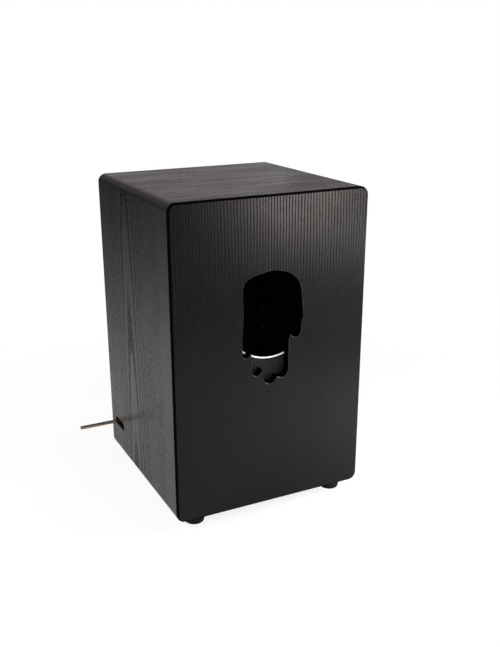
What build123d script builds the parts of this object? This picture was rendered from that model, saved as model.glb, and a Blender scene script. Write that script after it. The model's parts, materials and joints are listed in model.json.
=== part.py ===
"""Box drum (cajon) with a hand-shaped sound hole and a side lever for its snare wires.

Frame: +Z up, +X to the right of a person who looks at the sound-hole side, the striking face on +Y.
The origin is on the floor, under the middle of the box; heights in the section planes below are
measured from the underside of the bottom board, which the rubber feet hold clear of the floor.
"""

from build123d import *
from math import asin, atan2, cos, degrees, hypot, pi, radians, sin
import os

# ---------------------------------------------------------------- driving dimensions, in millimetres
# Body
BODY_WIDTH = 310.0
BODY_DEPTH = 300.0
BODY_HEIGHT = 472.0
WALL = 12.0
CORNER_RADIUS = 12.7

# Back panel: a flange over the ends of the walls, and a plug that fits between them
BACK_FLANGE = 5.0
BACK_PLUG = 10.0
BACK_RIM_ROUND = 3.0
HAND_EDGE_CHAMFER = 0.8
HAND_CUSP_ROUND = 1.2

# Port board behind the hand-shaped hole, and the band that lines its round port
PORT_BOARD = 9.0
PORT_X = 5.0
PORT_Z = 306.5
PORT_RADIUS = 77.0
RING_WALL = 2.0
RING_DEPTH = 5.0

# Striking face and the frame of battens behind it
TAPA = 3.0
TAPA_EDGE_ROUND = 1.0
BATTEN_DEPTH = 10.0
BATTEN_WIDTH = 18.0
CORNER_BLOCK_LEG = 22.0

# Countersunk screws round the striking face
SCREW_INSET = 7.0
SCREW_LENGTH = 20.0
SCREW_RADIUS = 1.5
SCREW_HEAD_RADIUS = 3.0
SIDE_SCREWS = 6
SIDE_SCREW_PITCH = 80.0
END_SCREWS = 4
END_SCREW_PITCH = 70.0

# Rubber feet
FOOT_HEIGHT = 15.0
FOOT_TOP_RADIUS = 18.0
FOOT_BOTTOM_RADIUS = 14.5
FOOT_EDGE_ROUND = 2.5
FOOT_X = 119.0
FOOT_Y = 126.0
FOOT_RECESS_RADIUS = 6.5
FOOT_RECESS_DEPTH = 8.0
FOOT_SCREW_RADIUS = 2.0
FOOT_SCREW_BITE = 9.0
FOOT_SCREW_HEAD_RADIUS = 4.0
FOOT_SCREW_HEAD = 3.0
FOOT_WASHER_RADIUS = 6.0
FOOT_WASHER = 1.0

# Slot in the left side, in which the snare lever travels
SLOT_LENGTH = 42.5
SLOT_HEIGHT = 12.0
SLOT_FROM_FACE = 42.2
SLOT_Z = 55.0
SLOT_EDGE_CHAMFER = 0.8

# Lever rod and the rocker that it turns
ROD_RADIUS = 3.0
ROD_OUTSIDE = 65.0
ROD_FROM_FACE = 28.0
ROD_END_CHAMFER = 0.8
ROD_TAIL = 3.0
ROD_LOW = 1.5
PIVOT_FROM_FACE = 35.5
LEVER_REACH = 150.0
ARM_THICKNESS = 10.0
ARM_TOP_RADIUS = 13.0
ARM_FOOT_RADIUS = 10.0
NUT_ACROSS_FLATS = 10.0
NUT_THICKNESS = 4.0
BAR_SIDE = 20.0
BAR_CHAMFER = 1.5
BAR_END_X = 120.0

# Pivots: a steel pin at each end of the bar, turning in a flanged bush in a block on the side
PIN_RADIUS = 3.0
PIN_LENGTH = 51.0
PIN_END_GAP = 2.0
PIN_CLEARANCE = 0.05
BLOCK_X = 20.0
BLOCK_Y = 40.0
BLOCK_Z = 60.0
BLOCK_CORNER_RADIUS = 3.0
BLOCK_SCREW_RISES = (-20.0, 20.0)
BLOCK_SCREW_RADIUS = 1.75
BLOCK_SCREW_HEAD_RADIUS = 3.5
BLOCK_SCREW_LENGTH = 28.0
BUSH_RADIUS = 5.0
BUSH_FLANGE_RADIUS = 8.0
BUSH_FLANGE = 1.5
FRICTION_WASHER = 1.3
ARM_SCREW_RISES = (-6.0, 6.0)
ARM_SCREW_LENGTH = 32.0
ARM_SCREW_HEAD_RADIUS = 2.75

# Snare wires: two sets of coiled strands, each held by a steel strip on the bar
STRANDS = 10
STRAND_PITCH = 4.0
STRAND_RADIUS = 0.9
STRAND_START = 1.0
STRAND_LENGTH = 150.0
SET_X = 52.0
STRIP_WIDTH = 46.0
STRIP_HEIGHT = 18.0
STRIP_THICKNESS = 1.2
STRIP_SCREW_X = 16.0
STRIP_SCREW_Z = -4.5
STRIP_SCREW_RADIUS = 1.25
STRIP_SCREW_LENGTH = 12.0
STRIP_SCREW_HEAD_RADIUS = 2.6
STRIP_SCREW_HEAD = 1.6

# ---------------------------------------------------------------- places worked out from them
BASE = FOOT_HEIGHT
HALF_WIDTH = BODY_WIDTH / 2
HALF_DEPTH = BODY_DEPTH / 2
MID_HEIGHT = BODY_HEIGHT / 2
INNER_WIDTH = BODY_WIDTH - 2 * WALL
INNER_HEIGHT = BODY_HEIGHT - 2 * WALL
INNER_X = INNER_WIDTH / 2

BACK_FACE_Y = -HALF_DEPTH
WALL_BACK_Y = BACK_FACE_Y + BACK_FLANGE
PLUG_FACE_Y = WALL_BACK_Y + BACK_PLUG
PORT_BOARD_FACE_Y = PLUG_FACE_Y + PORT_BOARD
TAPA_BACK_Y = HALF_DEPTH - TAPA
BATTEN_BACK_Y = TAPA_BACK_Y - BATTEN_DEPTH

FOOT_SCREW_HEAD_TOP = FOOT_RECESS_DEPTH - FOOT_WASHER

SLOT_Y = HALF_DEPTH - SLOT_FROM_FACE
ROD_Y = HALF_DEPTH - ROD_FROM_FACE
PIVOT_Y = HALF_DEPTH - PIVOT_FROM_FACE
REST_TILT = degrees(asin((ROD_Y - PIVOT_Y) / LEVER_REACH))
PIVOT_Z = SLOT_Z - ROD_LOW + LEVER_REACH
BLOCK_FACE_X = INNER_X - BLOCK_X

# The rocker is drawn upright about its pivot line and then leans by the rest tilt
ROCKER = Plane(
    origin=(0, PIVOT_Y, BASE + PIVOT_Z),
    x_dir=(1, 0, 0),
    z_dir=(0, -sin(radians(REST_TILT)), cos(radians(REST_TILT))),
)

side_screw_z = [MID_HEIGHT + (i - (SIDE_SCREWS - 1) / 2) * SIDE_SCREW_PITCH for i in range(SIDE_SCREWS)]
end_screw_x = [(i - (END_SCREWS - 1) / 2) * END_SCREW_PITCH for i in range(END_SCREWS)]
SCREW_PLACES = {
    "left_side": [(-HALF_WIDTH + SCREW_INSET, z) for z in side_screw_z],
    "right_side": [(HALF_WIDTH - SCREW_INSET, z) for z in side_screw_z],
    "bottom_panel": [(x, SCREW_INSET) for x in end_screw_x],
    "top_panel": [(x, BODY_HEIGHT - SCREW_INSET) for x in end_screw_x],
}
FOOT_PLACES = {
    "rear_left": (-FOOT_X, -FOOT_Y),
    "rear_right": (FOOT_X, -FOOT_Y),
    "front_left": (-FOOT_X, FOOT_Y),
    "front_right": (FOOT_X, FOOT_Y),
}
SIDES = {"left": -1, "right": 1}
STRIP_SCREW_PLACES = [
    (set_x + screw_x, STRIP_SCREW_Z)
    for set_x in (-SET_X, SET_X)
    for screw_x in (-STRIP_SCREW_X, STRIP_SCREW_X)
]
STRIP_FACE = BAR_SIDE / 2 + STRIP_THICKNESS


def section_plane(y):
    """Plane across the body at Y = y, facing the sound-hole side: local x is X, local y the height."""
    return Plane(origin=(0, y, BASE), x_dir=(1, 0, 0), z_dir=(0, -1, 0))


def side_plane(x):
    """Plane along the body at X = x, facing +X: local x is Y, local y the height."""
    return Plane(origin=(x, 0, BASE), x_dir=(0, 1, 0), z_dir=(1, 0, 0))


def rocker_section(forward):
    """The rocker's own section plane, forward of its pivot line: local y runs up the rocker."""
    return Plane(ROCKER.from_local_coords(Vector(0, forward, 0)), x_dir=(1, 0, 0), z_dir=-ROCKER.y_dir)


def rocker_side(x):
    """The rocker's own side plane at X = x, facing +X: local x is forward, local y runs up the rocker."""
    return Plane(ROCKER.from_local_coords(Vector(x, 0, 0)), x_dir=ROCKER.y_dir, z_dir=(1, 0, 0))


def finish(part, label):
    """Name a finished piece and write it."""
    part.label = label
    export_step(part, f"parts/{label}.step")


def flush_screw(head, toward, side, length, radius, head_radius, mode=Mode.ADD):
    """A countersunk screw, or the hole that it fills: the middle of its head at head, its point toward."""
    depth = head_radius - radius
    along = Vector(*toward)
    with BuildSketch(Plane(head, x_dir=side, z_dir=along.cross(Vector(*side)))) as half:
        with BuildLine() as profile:
            Polyline(
                (0, 0),
                (head_radius, 0),
                (radius, -depth),
                (radius, -length + radius),
                (0, -length),
                close=True,
            )
        make_face(profile.edges())
    revolve(half.sketch, axis=Axis(head, toward), mode=mode)


def tight_band(circles):
    """Face inside a tight band round circles (x, z, radius) that are listed anticlockwise."""
    leaving = []
    for (xa, za, ra), (xb, zb, rb) in zip(circles, circles[1:] + circles[:1]):
        leaving.append(atan2(zb - za, xb - xa) - pi / 2 + asin((ra - rb) / hypot(xb - xa, zb - za)))
    with BuildLine() as line:
        for i, (x, z, radius) in enumerate(circles):
            start, end = leaving[i - 1], leaving[i]
            if end < start:
                end += 2 * pi
            turn = [Vector(cos(t), sin(t)) * radius + Vector(x, z) for t in (start, (start + end) / 2, end)]
            ThreePointArc(*turn)
            next_x, next_z, next_radius = circles[(i + 1) % len(circles)]
            Line(turn[-1], Vector(cos(end), sin(end)) * next_radius + Vector(next_x, next_z))
    make_face(line.edges())


os.makedirs("parts", exist_ok=True)

# ---------------------------------------------------------------- carcass: four mitred walls
OUTER = [(-HALF_WIDTH, 0), (HALF_WIDTH, 0), (HALF_WIDTH, BODY_HEIGHT), (-HALF_WIDTH, BODY_HEIGHT)]
INNER = [(-INNER_X, WALL), (INNER_X, WALL), (INNER_X, BODY_HEIGHT - WALL), (-INNER_X, BODY_HEIGHT - WALL)]
WALLS = ["bottom_panel", "right_side", "top_panel", "left_side"]

for i, name in enumerate(WALLS):
    j = (i + 1) % 4
    with BuildPart() as wall:
        with BuildSketch(section_plane(TAPA_BACK_Y)):
            with BuildLine():
                Polyline(OUTER[i], OUTER[j], INNER[j], INNER[i], close=True)
            make_face()
            with Locations((0, MID_HEIGHT)):
                RectangleRounded(BODY_WIDTH, BODY_HEIGHT, CORNER_RADIUS, mode=Mode.INTERSECT)
        extrude(amount=TAPA_BACK_Y - WALL_BACK_Y)
        # pilot holes for the striking face's screws
        with BuildSketch(section_plane(TAPA_BACK_Y)):
            with Locations(*SCREW_PLACES[name]):
                Circle(SCREW_RADIUS)
        extrude(amount=SCREW_LENGTH - TAPA, mode=Mode.SUBTRACT)
        if name == "bottom_panel":
            with BuildSketch(Plane.XY.offset(BASE)):
                with Locations(*FOOT_PLACES.values()):
                    Circle(FOOT_SCREW_RADIUS)
            extrude(amount=FOOT_SCREW_BITE, mode=Mode.SUBTRACT)
        if name.endswith("_side"):
            hand = -1 if name == "left_side" else 1
            # pilot holes for the screws of the pivot block
            with BuildSketch(side_plane(hand * INNER_X)):
                for rise in BLOCK_SCREW_RISES:
                    with Locations((PIVOT_Y, PIVOT_Z + rise)):
                        Circle(BLOCK_SCREW_RADIUS)
            extrude(amount=hand * (BLOCK_SCREW_LENGTH - BLOCK_X), mode=Mode.SUBTRACT)
        if name == "left_side":
            with BuildSketch(side_plane(-HALF_WIDTH)):
                with Locations((SLOT_Y, SLOT_Z)):
                    SlotOverall(SLOT_LENGTH, SLOT_HEIGHT)
            extrude(amount=WALL, mode=Mode.SUBTRACT)
            outside = wall.faces().sort_by(Axis.X)[0]
            chamfer(outside.inner_wires()[0].edges(), length=SLOT_EDGE_CHAMFER)
    finish(wall.part, name)

# ---------------------------------------------------------------- back panel with the hand-shaped hole
# Circles (x, z, radius) of a hand that points down, each group drawn round with a tight band
HAND = {
    "heel": [
        (36.7, 293.3, 14.3),
        (11.6, 327.1, 35.6),
        (0.6, 330.7, 34.7),
        (-26.1, 339.5, 21.0),
        (-27.7, 300.0, 17.9),
    ],
    "knuckles": [(10.0, 300.0, 20.0), (-28.0, 300.0, 18.2), (-29.0, 263.0, 19.4), (9.2, 269.0, 20.2)],
    "little_finger": [(-38.0, 300.0, 8.0), (-41.8, 246.7, 6.0)],
    "ring_finger": [(-24.0, 290.0, 11.2), (-24.6, 218.8, 8.0)],
    "middle_finger": [(-2.5, 290.0, 13.0), (-3.1, 206.3, 11.1)],
    "index_finger": [(15.2, 290.0, 12.6), (15.9, 212.6, 10.9)],
    "thumb": [(38.0, 300.0, 11.0), (38.9, 269.7, 8.7)],
}

with BuildSketch(section_plane(BACK_FACE_Y)) as hand_outline:
    for circles in HAND.values():
        tight_band(circles)
    # round the cusps of wood between the fingers
    offset(amount=HAND_CUSP_ROUND, kind=Kind.ARC)
    offset(amount=-HAND_CUSP_ROUND, kind=Kind.ARC)

with BuildPart() as back_panel:
    with BuildSketch(section_plane(WALL_BACK_Y)):
        with Locations((0, MID_HEIGHT)):
            RectangleRounded(BODY_WIDTH, BODY_HEIGHT, CORNER_RADIUS)
    extrude(amount=BACK_FLANGE)
    rim = back_panel.faces().sort_by(Axis.Y)[0].edges()
    fillet(rim, radius=BACK_RIM_ROUND)
    with BuildSketch(section_plane(PLUG_FACE_Y)):
        with Locations((0, MID_HEIGHT)):
            Rectangle(INNER_WIDTH, INNER_HEIGHT)
    extrude(amount=BACK_PLUG)
    extrude(hand_outline.sketch, amount=-(BACK_FLANGE + BACK_PLUG), mode=Mode.SUBTRACT)
    outside = back_panel.faces().sort_by(Axis.Y)[0]
    chamfer(outside.inner_wires()[0].edges(), length=HAND_EDGE_CHAMFER)
finish(back_panel.part, "back_panel")

# ---------------------------------------------------------------- port board and its bright band
with BuildPart() as port_board:
    with BuildSketch(section_plane(PORT_BOARD_FACE_Y)):
        with Locations((0, MID_HEIGHT)):
            Rectangle(INNER_WIDTH, INNER_HEIGHT)
        with Locations((PORT_X, PORT_Z)):
            Circle(PORT_RADIUS, mode=Mode.SUBTRACT)
    extrude(amount=PORT_BOARD)
finish(port_board.part, "port_board")

with BuildPart() as port_ring:
    with BuildSketch(section_plane(PLUG_FACE_Y + RING_DEPTH)):
        with Locations((PORT_X, PORT_Z)):
            Circle(PORT_RADIUS)
            Circle(PORT_RADIUS - RING_WALL, mode=Mode.SUBTRACT)
    extrude(amount=RING_DEPTH)
finish(port_ring.part, "port_ring")

# ---------------------------------------------------------------- striking face and its screws
def face_screw(x, z, mode=Mode.ADD):
    """One screw of the striking face, or its hole."""
    head = (x, HALF_DEPTH, BASE + z)
    flush_screw(head, (0, -1, 0), (1, 0, 0), SCREW_LENGTH, SCREW_RADIUS, SCREW_HEAD_RADIUS, mode)


with BuildPart() as tapa:
    with BuildSketch(section_plane(HALF_DEPTH)):
        with Locations((0, MID_HEIGHT)):
            RectangleRounded(BODY_WIDTH, BODY_HEIGHT, CORNER_RADIUS)
    extrude(amount=TAPA)
    fillet(tapa.faces().sort_by(Axis.Y)[-1].edges(), radius=TAPA_EDGE_ROUND)
    for places in SCREW_PLACES.values():
        for x, z in places:
            face_screw(x, z, Mode.SUBTRACT)
finish(tapa.part, "tapa")

with BuildPart() as tapa_screws:
    for places in SCREW_PLACES.values():
        for x, z in places:
            face_screw(x, z)
finish(tapa_screws.part, "tapa_screws")

# ---------------------------------------------------------------- battens behind the striking face
for name, z in (("bottom", WALL), ("top", BODY_HEIGHT - WALL - BATTEN_WIDTH)):
    with BuildPart() as batten:
        with BuildSketch(section_plane(TAPA_BACK_Y)):
            with Locations((0, z + BATTEN_WIDTH / 2)):
                Rectangle(INNER_WIDTH, BATTEN_WIDTH)
        extrude(amount=BATTEN_DEPTH)
    finish(batten.part, f"front_batten_{name}")

for name, hand in SIDES.items():
    with BuildPart() as batten:
        with BuildSketch(section_plane(TAPA_BACK_Y)):
            with Locations((hand * (INNER_X - BATTEN_WIDTH / 2), MID_HEIGHT)):
                Rectangle(BATTEN_WIDTH, INNER_HEIGHT - 2 * BATTEN_WIDTH)
        extrude(amount=BATTEN_DEPTH)
    finish(batten.part, f"front_batten_{name}")

# ---------------------------------------------------------------- glue blocks in the four long corners
for level, z, up in (("bottom", WALL, 1), ("top", BODY_HEIGHT - WALL, -1)):
    for name, hand in SIDES.items():
        with BuildPart() as block:
            with BuildSketch(section_plane(BATTEN_BACK_Y)):
                with BuildLine():
                    Polyline(
                        (hand * INNER_X, z),
                        (hand * (INNER_X - CORNER_BLOCK_LEG), z),
                        (hand * INNER_X, z + up * CORNER_BLOCK_LEG),
                        close=True,
                    )
                make_face()
            extrude(amount=BATTEN_BACK_Y - PORT_BOARD_FACE_Y)
        finish(block.part, f"corner_block_{level}_{name}")

# ---------------------------------------------------------------- rubber feet, washers and screws
for name, (x, y) in FOOT_PLACES.items():
    with BuildPart() as foot:
        with BuildSketch(Plane((x, y, 0), x_dir=(1, 0, 0), z_dir=(0, -1, 0))):
            with BuildLine():
                Polyline(
                    (FOOT_SCREW_RADIUS, FOOT_HEIGHT),
                    (FOOT_TOP_RADIUS, FOOT_HEIGHT),
                    (FOOT_BOTTOM_RADIUS, 0),
                    (FOOT_RECESS_RADIUS, 0),
                    (FOOT_RECESS_RADIUS, FOOT_RECESS_DEPTH),
                    (FOOT_SCREW_RADIUS, FOOT_RECESS_DEPTH),
                    close=True,
                )
            make_face()
        revolve(axis=Axis((x, y, 0), (0, 0, 1)))
        tread = foot.edges().filter_by(GeomType.CIRCLE).group_by(Axis.Z)[0].sort_by(SortBy.RADIUS)[-1]
        fillet(tread, radius=FOOT_EDGE_ROUND)
    finish(foot.part, f"foot_{name}")

with BuildPart() as foot_washers:
    with BuildSketch(Plane.XY.offset(FOOT_RECESS_DEPTH)):
        with Locations(*FOOT_PLACES.values()):
            Circle(FOOT_WASHER_RADIUS)
            Circle(FOOT_SCREW_RADIUS, mode=Mode.SUBTRACT)
    extrude(amount=-FOOT_WASHER)
finish(foot_washers.part, "foot_washers")

with BuildPart() as foot_screws:
    with BuildSketch(Plane.XY.offset(FOOT_SCREW_HEAD_TOP)):
        with Locations(*FOOT_PLACES.values()):
            Circle(FOOT_SCREW_HEAD_RADIUS)
    extrude(amount=-FOOT_SCREW_HEAD)
    with BuildSketch(Plane.XY.offset(FOOT_SCREW_HEAD_TOP)):
        with Locations(*FOOT_PLACES.values()):
            Circle(FOOT_SCREW_RADIUS)
    extrude(amount=BASE + FOOT_SCREW_BITE - FOOT_SCREW_HEAD_TOP)
finish(foot_screws.part, "foot_screws")

# ---------------------------------------------------------------- pivot blocks and bushes
def block_screw(hand, rise, mode=Mode.ADD):
    """One screw of a pivot block, or its hole, rise above or below the pivot."""
    head = (hand * BLOCK_FACE_X, PIVOT_Y, BASE + PIVOT_Z + rise)
    radii = (BLOCK_SCREW_RADIUS, BLOCK_SCREW_HEAD_RADIUS)
    flush_screw(head, (hand, 0, 0), (0, 1, 0), BLOCK_SCREW_LENGTH, *radii, mode)


for name, hand in SIDES.items():
    with BuildPart() as pivot_block:
        with BuildSketch(side_plane(hand * INNER_X)):
            with Locations((PIVOT_Y, PIVOT_Z)):
                RectangleRounded(BLOCK_Y, BLOCK_Z, BLOCK_CORNER_RADIUS)
                Circle(BUSH_RADIUS, mode=Mode.SUBTRACT)
        extrude(amount=-hand * BLOCK_X)
        for rise in BLOCK_SCREW_RISES:
            block_screw(hand, rise, Mode.SUBTRACT)
    finish(pivot_block.part, f"pivot_block_{name}")

    with BuildPart() as pivot_bush:
        with BuildSketch(side_plane(hand * BLOCK_FACE_X)):
            with Locations((PIVOT_Y, PIVOT_Z)):
                Circle(BUSH_RADIUS)
        extrude(amount=hand * BLOCK_X)
        with BuildSketch(side_plane(hand * BLOCK_FACE_X)):
            with Locations((PIVOT_Y, PIVOT_Z)):
                Circle(BUSH_FLANGE_RADIUS)
        extrude(amount=-hand * BUSH_FLANGE)
        with BuildSketch(side_plane(hand * (BLOCK_FACE_X - BUSH_FLANGE))):
            with Locations((PIVOT_Y, PIVOT_Z)):
                Circle(PIN_RADIUS + PIN_CLEARANCE)
        extrude(amount=hand * (BLOCK_X + BUSH_FLANGE), mode=Mode.SUBTRACT)
    finish(pivot_bush.part, f"pivot_bush_{name}")

with BuildPart() as pivot_block_screws:
    for hand in SIDES.values():
        for rise in BLOCK_SCREW_RISES:
            block_screw(hand, rise)
finish(pivot_block_screws.part, "pivot_block_screws")

# ---------------------------------------------------------------- rocker: bar, arm, rod and pins
PIN_INNER_X = INNER_X - PIN_END_GAP - PIN_LENGTH
ARM_OUTER_X = -BAR_END_X
ARM_INNER_X = ARM_OUTER_X + ARM_THICKNESS
ROD_TIP_X = -HALF_WIDTH - ROD_OUTSIDE
ROD_TAIL_X = ARM_INNER_X + NUT_THICKNESS + ROD_TAIL


def arm_screw(rise, mode=Mode.ADD):
    """One of the screws that hold the arm to the end of the bar, or its hole."""
    head = ROCKER.from_local_coords(Vector(ARM_OUTER_X, 0, rise))
    radii = (SCREW_RADIUS, ARM_SCREW_HEAD_RADIUS)
    flush_screw(head, (1, 0, 0), ROCKER.y_dir, ARM_SCREW_LENGTH, *radii, mode)


def drill_rocker():
    """Take the pin bores and the arm screw holes out of the piece that is being built."""
    for hand in SIDES.values():
        with BuildSketch(rocker_side(hand * PIN_INNER_X)) as bore:
            Circle(PIN_RADIUS)
        extrude(bore.sketch, amount=hand * PIN_LENGTH, mode=Mode.SUBTRACT)
    for rise in ARM_SCREW_RISES:
        arm_screw(rise, Mode.SUBTRACT)


with BuildPart() as snare_bar:
    with BuildSketch(rocker_side(ARM_INNER_X)):
        Rectangle(BAR_SIDE, BAR_SIDE)
    extrude(amount=BAR_END_X - ARM_INNER_X)
    chamfer(snare_bar.edges().filter_by(Axis.X), length=BAR_CHAMFER)
    drill_rocker()
    # pilot holes for the screws of the snare strips
    with BuildSketch(rocker_section(BAR_SIDE / 2)):
        with Locations(*STRIP_SCREW_PLACES):
            Circle(STRIP_SCREW_RADIUS)
    extrude(amount=STRIP_SCREW_LENGTH - STRIP_THICKNESS, mode=Mode.SUBTRACT)
finish(snare_bar.part, "snare_bar")

with BuildPart() as lever_arm:
    with BuildSketch(rocker_side(ARM_OUTER_X)):
        tight_band([(0, 0, ARM_TOP_RADIUS), (0, -LEVER_REACH, ARM_FOOT_RADIUS)])
        with Locations((0, -LEVER_REACH)):
            Circle(ROD_RADIUS, mode=Mode.SUBTRACT)
    extrude(amount=ARM_THICKNESS)
    drill_rocker()
finish(lever_arm.part, "lever_arm")

with BuildPart() as lever_rod:
    with BuildSketch(rocker_side(ROD_TIP_X)):
        with Locations((0, -LEVER_REACH)):
            Circle(ROD_RADIUS)
    extrude(amount=ROD_TAIL_X - ROD_TIP_X)
    chamfer(lever_rod.edges().filter_by(GeomType.CIRCLE), length=ROD_END_CHAMFER)
finish(lever_rod.part, "lever_rod")

with BuildPart() as rod_nuts:
    for x in (ARM_OUTER_X - NUT_THICKNESS, ARM_INNER_X):
        with BuildSketch(rocker_side(x)):
            with Locations((0, -LEVER_REACH)):
                RegularPolygon(NUT_ACROSS_FLATS / 2, 6, major_radius=False)
                Circle(ROD_RADIUS, mode=Mode.SUBTRACT)
        extrude(amount=NUT_THICKNESS)
finish(rod_nuts.part, "rod_nuts")

with BuildPart() as pivot_pins:
    for hand in SIDES.values():
        with BuildSketch(rocker_side(hand * PIN_INNER_X)):
            Circle(PIN_RADIUS)
        extrude(amount=hand * PIN_LENGTH)
finish(pivot_pins.part, "pivot_pins")

with BuildPart() as friction_washers:
    for hand in SIDES.values():
        with BuildSketch(rocker_side(hand * BAR_END_X)):
            Circle(BUSH_FLANGE_RADIUS)
            Circle(PIN_RADIUS, mode=Mode.SUBTRACT)
        extrude(amount=hand * FRICTION_WASHER)
finish(friction_washers.part, "friction_washers")

with BuildPart() as arm_screws:
    for rise in ARM_SCREW_RISES:
        arm_screw(rise)
finish(arm_screws.part, "arm_screws")

# ---------------------------------------------------------------- snare wires on the bar
for name, hand in SIDES.items():
    with BuildPart() as snare_strip:
        with BuildSketch(rocker_section(STRIP_FACE)):
            with Locations((hand * SET_X, 0)):
                Rectangle(STRIP_WIDTH, STRIP_HEIGHT)
            with Locations(*STRIP_SCREW_PLACES):
                Circle(STRIP_SCREW_RADIUS, mode=Mode.SUBTRACT)
        extrude(amount=STRIP_THICKNESS)
    finish(snare_strip.part, f"snare_strip_{name}")

    with BuildPart() as snare_strands:
        with BuildSketch(ROCKER.offset(STRAND_START)):
            with Locations((hand * SET_X, STRIP_FACE + STRAND_RADIUS)):
                with GridLocations(STRAND_PITCH, STRAND_PITCH, STRANDS, 1):
                    Circle(STRAND_RADIUS)
        extrude(amount=STRAND_LENGTH)
    finish(snare_strands.part, f"snare_strands_{name}")

with BuildPart() as snare_screws:
    with BuildSketch(rocker_section(STRIP_FACE + STRIP_SCREW_HEAD)):
        with Locations(*STRIP_SCREW_PLACES):
            Circle(STRIP_SCREW_HEAD_RADIUS)
    extrude(amount=STRIP_SCREW_HEAD)
    with BuildSketch(rocker_section(STRIP_FACE)):
        with Locations(*STRIP_SCREW_PLACES):
            Circle(STRIP_SCREW_RADIUS)
    extrude(amount=STRIP_SCREW_LENGTH)
finish(snare_screws.part, "snare_screws")
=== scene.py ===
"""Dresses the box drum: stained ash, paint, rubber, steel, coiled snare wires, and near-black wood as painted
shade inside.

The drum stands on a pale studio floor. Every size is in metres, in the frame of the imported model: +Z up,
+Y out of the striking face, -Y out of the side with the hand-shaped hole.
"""

import json
import logging
import math
from collections.abc import Callable, Iterable, Sequence
from dataclasses import dataclass, field, replace
from enum import Enum
from functools import partial, reduce

import bpy
import numpy as np
from mathutils import Matrix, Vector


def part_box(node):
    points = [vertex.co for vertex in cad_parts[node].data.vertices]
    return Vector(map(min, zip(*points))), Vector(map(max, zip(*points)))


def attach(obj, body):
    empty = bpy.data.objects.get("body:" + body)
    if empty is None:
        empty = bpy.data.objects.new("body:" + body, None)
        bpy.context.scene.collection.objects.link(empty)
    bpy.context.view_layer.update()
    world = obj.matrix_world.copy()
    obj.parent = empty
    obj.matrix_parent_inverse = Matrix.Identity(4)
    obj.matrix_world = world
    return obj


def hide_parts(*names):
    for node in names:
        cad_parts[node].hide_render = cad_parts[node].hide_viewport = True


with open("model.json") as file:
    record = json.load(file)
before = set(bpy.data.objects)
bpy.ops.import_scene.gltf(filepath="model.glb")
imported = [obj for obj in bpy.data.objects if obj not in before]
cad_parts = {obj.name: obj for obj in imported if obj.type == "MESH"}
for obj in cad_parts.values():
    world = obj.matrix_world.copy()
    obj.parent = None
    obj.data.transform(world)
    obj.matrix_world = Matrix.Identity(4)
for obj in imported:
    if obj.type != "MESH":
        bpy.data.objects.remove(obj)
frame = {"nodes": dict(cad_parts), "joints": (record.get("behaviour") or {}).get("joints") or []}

log = logging.getLogger("box_drum")

Socket = bpy.types.NodeSocket
Value = Socket | float
Colour = tuple[float, float, float]
Point = tuple[float, float, float]
Feed = Value | Colour
Array = np.ndarray

MM = 0.001
BOX = "box"
ROCKER = "snare_rocker"
ASH, STEEL, RUBBER, WOOD = "black_ash", "steel", "rubber", "inner_wood"
ALONG_X, ALONG_Y, ALONG_Z = np.eye(3)


class Axis(Enum):
    """A direction of the model's frame, by the index of its coordinate."""

    X = 0
    Y = 1
    Z = 2


# A board's directions: across its grain, along it, and out of it.
BESIDE = (Axis.Y, Axis.Z, Axis.X)
FLAT = (Axis.Y, Axis.X, Axis.Z)
FACING = (Axis.X, Axis.Z, Axis.Y)


# -------------------- finishes


@dataclass(frozen=True)
class Grain:
    """A noise: its grains to the metre across and along a board, where it starts, and its finer layers."""

    across: float
    along: float = 0.0
    shift: float = 0.0
    layers: float = 2.0
    rough: float = 0.6


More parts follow.
